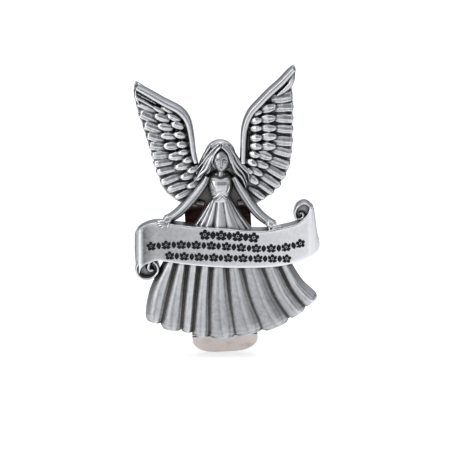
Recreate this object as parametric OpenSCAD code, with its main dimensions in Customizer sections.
// Clip-on angel ornament: a relief casting in pewter, staked to a folded spring-steel visor clip.
// The casting faces -Y and stands up along +Z. The origin is on the clip's seat face, on its centre line.

/* [Casting] */
// Depth at which the casting's flat back lies, which is also the thickness of the clip strip
strip_t = 0.5; // [0.4:0.05:0.6]
// Front of the ribbon banner
banner_front = 4.7; // [4.2:0.1:5.2]
// Front of the rib along the leading edge of a wing
rib_front = 3.7; // [3.2:0.1:4.2]
// Front of the shortest feathers, beside the rib
inner_front = 3.1; // [2.8:0.1:3.2]
// Front of the middle row of feathers
middle_front = 2.6; // [2.3:0.1:2.7]
// Front of the long outer feathers
outer_front = 2.1; // [1.6:0.1:2.2]
// Front of the gown's folds
fold_front = 3.4; // [3:0.1:3.8]
// Front of the plain ground behind folds and feathers
ground_front = 1.5; // [1.2:0.1:1.6]
// Depth of the pockets that hold the enamel
enamel_depth = 0.3; // [0.2:0.05:0.4]

/* [Clip] */
// Width of the steel strip
strip_w = 15.5; // [14:0.5:17]
// Lean of the clip behind the figure, in degrees
clip_tilt = 3.3; // [0:0.1:4]
// Inner radius of the fold at the top
bend_r = 3; // [2.8:0.1:3.2]
// Height of the fold's centre above the origin
bend_z = 14.5; // [14:0.5:15]
// Length of the fixed leaf below the origin
seat_drop = 10; // [9:0.5:10.5]
// How far the free leaf leans in towards the seat, in degrees
converge = 7.7; // [7.2:0.1:8]
// Height, below the origin, of the line where the jaw pinches
pinch_drop = 13.6; // [13.4:0.1:14]
// Height, below the origin, of the lip's rounded end
lip_drop = 19; // [18.5:0.1:19.5]
// Radius of the lip's rounded corners
lip_corner = 5; // [3:0.5:6]
// Radius of the two cast pegs that are staked into the strip
peg_r = 1; // [0.8:0.1:1.2]

/* [Hidden] */
$fn = 48;
back = strip_t;
cut = 60;
spring_color = "rosybrown";
pewter = "silver";
peg_heights = [-5, 8];

// ---- Curves in the plan of the relief, where a point is [across, up]

function blended(a, b, c, d, t) =
    0.5 * (2*b + (c - a)*t + (2*a - 5*b + 4*c - d)*t*t + (3*b - a - 3*c + d)*t*t*t);

// A smooth curve through the points, with n steps between two of them
function curve(p, n = 4) = concat(
    [for (i = [0:len(p) - 2]) for (k = [0:n - 1])
        blended(p[max(i - 1, 0)], p[i], p[i + 1], p[min(i + 2, len(p) - 1)], k/n)],
    [p[len(p) - 1]]);

// The same, closed
function ring(p, n = 4) = [for (i = [0:len(p) - 1]) for (k = [0:n - 1])
    blended(p[(i + len(p) - 1) % len(p)], p[i], p[(i + 1) % len(p)], p[(i + 2) % len(p)], k/n)];

function reversed(p) = [for (i = [len(p) - 1:-1:0]) p[i]];
function mirrored(p) = [for (q = p) [-q.x, q.y]];
function left_of(p, i) =
    let (d = p[min(i + 1, len(p) - 1)] - p[max(i - 1, 0)]) [-d.y, d.x] / norm(d);

// The point at fraction s of a curve
function at(p, s) = let (f = s * (len(p) - 1), i = min(floor(f), len(p) - 2), t = f - i)
    p[i]*(1 - t) + p[i + 1]*t;

// The curve at fraction f of the way from curve a to curve b
function between(a, b, f, n = 24) = [for (i = [0:n]) at(a, i/n)*(1 - f) + at(b, i/n)*f];

// n round scallops of depth d along a curve, on its left side
function scalloped(p, n, d, steps = 4) = [for (i = [0:n*steps])
    let (s = i/(n*steps), j = round(s*(len(p) - 1)))
    at(p, s) + left_of(p, j) * d * sin(180*(i % steps)/steps)];

// A band of width w along a curve
function band(p, w) = concat([for (i = [0:len(p) - 1]) p[i] + left_of(p, i)*w/2],
    [for (i = [len(p) - 1:-1:0]) p[i] - left_of(p, i)*w/2]);

// Raises a plan shape from one depth to another
module relief(front, from = back) {
    rotate([90, 0, 0]) translate([0, 0, from]) linear_extrude(front - from) children();
}

// Keeps only what is in front of the casting's flat back
module in_front() {
    intersection() {
        children();
        translate([-cut, -cut - back, -cut]) cube([2*cut, cut, 2*cut]);
    }
}

// A round fold or limb from one point [x, y, z] to another
module taper(a, b, ra, rb) {
    d = b - a;
    translate(a) rotate([0, acos(d.z/norm(d)), atan2(d.y, d.x)]) cylinder(h = norm(d), r1 = ra, r2 = rb);
}

// ---- Wings: a ground, three tiers of feathers and a rib along the leading edge

left_lead = curve([[-20.1, 47], [-16.8, 45.2], [-13.3, 43.1], [-9.7, 41.2], [-7.6, 38.8],
    [-6.7, 35.5], [-6, 30.6], [-5, 27.5], [-3.6, 24.4]]);
left_tips = curve([[-20.5, 46.2], [-20.4, 43], [-18.9, 38.4], [-17.2, 33.1], [-15.8, 28.2],
    [-14.4, 23.6], [-12, 20], [-8.9, 18]]);
right_lead = curve([[16.9, 51], [13.8, 48.1], [11.4, 45.7], [9.1, 43], [6.3, 40.1],
    [4.9, 36.5], [4.5, 32], [4.4, 28.2], [3.8, 24.4]]);
right_tips = curve([[17.2, 50.6], [16.6, 46], [16.6, 41.3], [16.6, 36], [16.4, 30.4],
    [15.2, 25.3], [12.2, 21.6], [8.2, 18.6]]);

module tier(lead, tips, reach, front, feathers, side) {
    edge = between(lead, tips, reach);
    lobes = side > 0 ? scalloped(edge, feathers, 0.45)
        : mirrored(scalloped(mirrored(edge), feathers, 0.45));
    relief(front) polygon(concat(lead, reversed(lobes)));
}

module wing(lead, tips, side) {
    tier(lead, tips, 0.96, outer_front, 12, side);
    tier(lead, tips, 0.62, middle_front, 9, side);
    tier(lead, tips, 0.34, inner_front, 7, side);
    rib = between(lead, tips, 0.075);
    relief(rib_front) polygon(band([for (i = [0:20]) rib[i]], 1.5));
}

// ---- Plans of the figure

hair_outline = ring([[-4.3, 29.3], [-3.9, 31.3], [-2.2, 33.1], [-0.3, 33.7], [1.6, 33.1],
    [3.1, 31.4], [3.7, 29.6], [5.5, 27.9], [6.7, 26.1], [6.5, 24], [5.7, 22.6], [4.3, 24.2],
    [2.4, 25.2], [0, 25.6], [-2.4, 25.2], [-3.9, 25], [-5.4, 23.9], [-6.7, 23.8], [-6.6, 25.4],
    [-5.5, 27.4]]);
left_arm_line = curve([[-2.8, 23.9], [-5.3, 21.2], [-8.2, 18.1], [-11, 15.8], [-13.4, 14.8]]);
right_arm_line = curve([[2.6, 23.9], [4.8, 21.4], [7, 18.2], [9.4, 15.2], [12.3, 13.5]]);
web_outline = [[-6.6, 17.4], [-1.5, 17.2], [1.5, 17.2], [6.2, 17.6], [4, 22.4], [2.4, 24.4],
    [-2.6, 24.4], [-4, 22.4]];
banner_outline = ring([[-20.3, 11.2], [-19.2, 12.8], [-17, 14.1], [-14.4, 14.4], [-10.9, 13.9],
    [-5, 13.3], [0.8, 13], [6.5, 12.4], [11, 12.5], [14.6, 13.2], [17.4, 14.6], [19.2, 16.4],
    [21.2, 18.4], [22, 15.5], [22.7, 11.4], [23.2, 8.6], [22.6, 7], [20.2, 5.5], [17, 4.3],
    [13, 3.5], [7, 3.3], [0, 3.4], [-7, 3.9], [-13, 4.6], [-15.6, 4.3], [-17.4, 3.4],
    [-18.8, 2.4], [-20.2, 3.2], [-20.3, 7]], 3);
left_scroll = [-17.7, 2.2];
right_scroll = [19.1, 17.1];
scroll_r = 2.45;

// ---- Head and hair

module head() {
    color(pewter) translate([0, -3.4, 29.2]) rotate_extrude()
        polygon(concat([[0, -2.7]], [for (a = [-75:15:75]) [1.8*cos(a), 2.7*sin(a)]], [[0, 2.7]]));
}

module hair() {
    color(pewter) difference() {
        relief(3.6) polygon(hair_outline);
        head();
        bodice();
    }
}

// ---- Body and arms

module bodice() {
    torso = curve([[1.85, 19.4], [2, 20.6], [2.45, 22.8], [2.1, 24.3], [1, 25.3], [0.95, 26.6]]);
    color(pewter) difference() {
        in_front() translate([-0.2, -1.9, 0])
            rotate_extrude() polygon(concat([[0, 19.4]], torso, [[0, 26.6]]));
        head();
    }
}

// A limb along a plan line, backed by a wall down to the casting's back
module limb(line, r) {
    last = len(line) - 1;
    relief(3.2) polygon(band(line, 1.6*r));
    taper([line[0].x, -3.25, line[0].y], [line[last/2].x, -3.35, line[last/2].y], 1.1*r, r);
    taper([line[last/2].x, -3.3, line[last/2].y], [line[last].x, -3.4, line[last].y], 1.04*r, 0.9*r);
}

module arm(line) {
    hand = line[len(line) - 1];
    color(pewter) difference() {
        union() {
            limb(line, 0.9);
            translate([hand.x, -3.9, hand.y]) sphere(r = 1.25);
        }
        bodice();
        relief(cut) polygon(hair_outline);
        relief(banner_front) polygon(banner_outline);
    }
}

module left_arm() { arm(left_arm_line); }
module right_arm() { arm(right_arm_line); }

module left_wing() {
    color(pewter) difference() {
        wing(left_lead, left_tips, 1);
        relief(cut, 0) polygon(hair_outline);
        relief(cut, 0) polygon(band(left_arm_line, 1.8));
        bodice();
    }
}

module right_wing() {
    color(pewter) difference() {
        wing(right_lead, right_tips, -1);
        relief(cut, 0) polygon(hair_outline);
        relief(cut, 0) polygon(band(right_arm_line, 1.8));
        bodice();
    }
}

// The thin web that joins the arms to the body
module back_web() {
    color(pewter) difference() {
        relief(1.2) polygon(web_outline);
        bodice();
        upper_gown();
        relief(cut, 0) polygon(hair_outline);
        for (line = [left_arm_line, right_arm_line]) relief(cut, 0) polygon(band(line, 1.8));
        left_wing();
        right_wing();
    }
}

// ---- Gown: folds that widen downwards on a plain ground

module fold(top, bottom, r_top, r_bottom, front_top, front_bottom) {
    taper([top.x, r_top - front_top, top.y], [bottom.x, r_bottom - front_bottom, bottom.y],
        r_top, r_bottom);
}

module upper_gown() {
    waist = 19.4;
    hem_x = [-4.7, -2.3, 0.4, 3.1, 5.6];
    color(pewter) difference() {
        in_front() {
            relief(ground_front) polygon([[-2, waist], [1.6, waist], [7, 11.5], [-6.2, 11.5]]);
            for (i = [0:4])
                fold([-1.5 + 0.65*i, waist], [hem_x[i], 11.5], 0.6, 1.4, 2.6, fold_front);
        }
        bodice();
        relief(cut, 0) polygon(banner_outline);
    }
}

// Middles of the grooves between the folds: across at the top, and the hem's lowest points
groove_top = [-12.8, -10.4, -7.8, -5, -2.2, 1.1, 4.4, 8.8, 12.8, 15.4];
groove_hem = [-17.6, -14.2, -9.5, -6.7, -2.7, 3.4, 10, 16.1, 19.9, 22.5];
fold_hem = [-10.4, -12, -12.6, -13.6, -14, -13, -11.3, -8.2, -5.6];

module lower_gown() {
    top = 4.9;
    left_edge = curve([[-12.4, top], [-14.9, 0.3], [-16.8, -4.1], [-17.7, -8]]);
    right_edge = curve([[22.4, -3], [19.6, -1.2], [17.3, 1], [14.8, top]]);
    hem = [for (i = [0:8]) [(groove_hem[i] + groove_hem[i + 1])/2, fold_hem[i] + 0.3]];
    color(pewter) difference() {
        in_front() {
            relief(ground_front) polygon(concat(left_edge, hem, right_edge));
            for (i = [0:8]) {
                r_top = (groove_top[i + 1] - groove_top[i])/2;
                r_hem = (groove_hem[i + 1] - groove_hem[i])/2;
                fold([groove_top[i] + r_top, top], [groove_hem[i] + r_hem, fold_hem[i]],
                    r_top, r_hem, fold_front - 0.4, fold_front);
            }
        }
        relief(cut, 0) polygon(banner_outline);
        relief(cut, 0) translate(left_scroll) circle(r = scroll_r);
    }
}

// ---- Banner: a ribbon held across the gown, with a rolled end at each side

// A band that winds in from the outside, with r its outer radius, from angle start
function winding(r, start, turns) = [for (i = [0:24])
    let (a = start + 360*turns*i/24, q = (r - 0.35)*(1 - 0.8*i/24)) [q*cos(a), q*sin(a)]];

module scroll(centre, start) {
    color(pewter) difference() {
        translate([centre.x, 0, centre.y]) {
            relief(ground_front) circle(r = scroll_r);
            relief(banner_front) polygon(band(winding(scroll_r, start, 1.3), 0.7));
        }
        relief(cut, 0) difference() {
            translate(centre) square(3*scroll_r, center = true);
            translate(centre) circle(r = scroll_r);
        }
    }
}

module banner_left_scroll() { scroll(left_scroll, 180); }
module banner_right_scroll() { scroll(right_scroll, 0); }

module banner() {
    color(pewter) difference() {
        relief(banner_front) polygon(banner_outline);
        for (c = [left_scroll, right_scroll]) relief(cut, 0) translate(c) circle(r = scroll_r);
        banner_enamel();
    }
}

// Rows of plain ornament: lozenges with dots between them, along a line
module ornament_row(line, count, tall) {
    for (i = [0:count - 1]) {
        p = at(line, i/(count - 1));
        wide = tall*0.32;
        relief(banner_front, banner_front - enamel_depth) translate(p)
            if (i % 2 == 0) polygon([[-wide, 0], [0, tall/2], [wide, 0], [0, -tall/2]]);
            else circle(r = tall*0.16);
    }
}

module banner_enamel() {
    color("black") {
        ornament_row(curve([[-4, 11.4], [2, 11.1], [7.5, 10.7]]), 9, 2);
        ornament_row(curve([[-16.4, 8.5], [-10.9, 8.9], [-1.3, 8.7], [8.1, 8.1], [14.5, 8.2],
            [18.4, 9.1]]), 27, 1.7);
        ornament_row(curve([[-12, 6.3], [0.4, 5.8], [15, 5.5]]), 21, 1.6);
    }
}

// ---- Clip: one strip folded into a jaw, staked to the casting's back

module leaning() { rotate([0, -clip_tilt, 0]) children(); }

// Draws a side profile [depth, up] across the strip's width
module across(w = strip_w) {
    translate([-w/2, 0, 0]) rotate([90, 0, 90]) linear_extrude(w) children();
}

module peg_shafts(r) {
    for (z = peg_heights) translate([0, 0, z]) rotate([90, 0, 0]) cylinder(h = back, r = r);
}

module clip_pegs() { color(pewter) leaning() peg_shafts(peg_r); }

module clip_seat_leaf() {
    color(spring_color) leaning() difference() {
        across() translate([-strip_t, -seat_drop]) square([strip_t, bend_z + seat_drop]);
        peg_shafts(peg_r);
    }
}

// The wedge that the fold fills, from the seat leaf over the top to where the free leaf starts
module bend_sector() {
    far = 4*bend_r;
    polygon([[0, 0], [-far, 0], [-far, far], [far, far], far*[cos(converge), -sin(converge)]]);
}

module clip_bend() {
    color(spring_color) leaning() across() translate([bend_r, bend_z]) intersection() {
        difference() {
            circle(r = bend_r + strip_t);
            circle(r = bend_r);
        }
        bend_sector();
    }
}

module clip_spring_leaf() {
    mid_r = bend_r + strip_t/2;
    run = [-sin(converge), -cos(converge)];
    start = [bend_r + mid_r*cos(converge), bend_z - mid_r*sin(converge)];
    knee = start + run*24.2;
    pinch = [0.05, -pinch_drop];
    lip = [2.25, -lip_drop];
    line = concat([start, start + run*22, start + run*23.2],
        curve([knee + [-0.15, -0.1], at([knee, pinch], 0.5), pinch + [0.15, 0.45], pinch,
        pinch + [0.12, -0.5], at([pinch, lip], 0.4), lip]));
    color(spring_color) leaning() intersection() {
        across() polygon(band(line, strip_t));
        translate([0, cut, 0]) rotate([90, 0, 0]) linear_extrude(2*cut) {
            translate([-strip_w/2, lip_corner - lip_drop]) square([strip_w, cut]);
            for (s = [-1, 1]) translate([s*(strip_w/2 - lip_corner), lip_corner - lip_drop])
                circle(r = lip_corner);
            translate([lip_corner - strip_w/2, -lip_drop]) square([strip_w - 2*lip_corner, cut]);
        }
    }
}

left_wing();
right_wing();
hair();
head();
bodice();
left_arm();
right_arm();
upper_gown();
lower_gown();
banner();
banner_left_scroll();
banner_right_scroll();
banner_enamel();
back_web();
clip_pegs();
clip_seat_leaf();
clip_bend();
clip_spring_leaf();
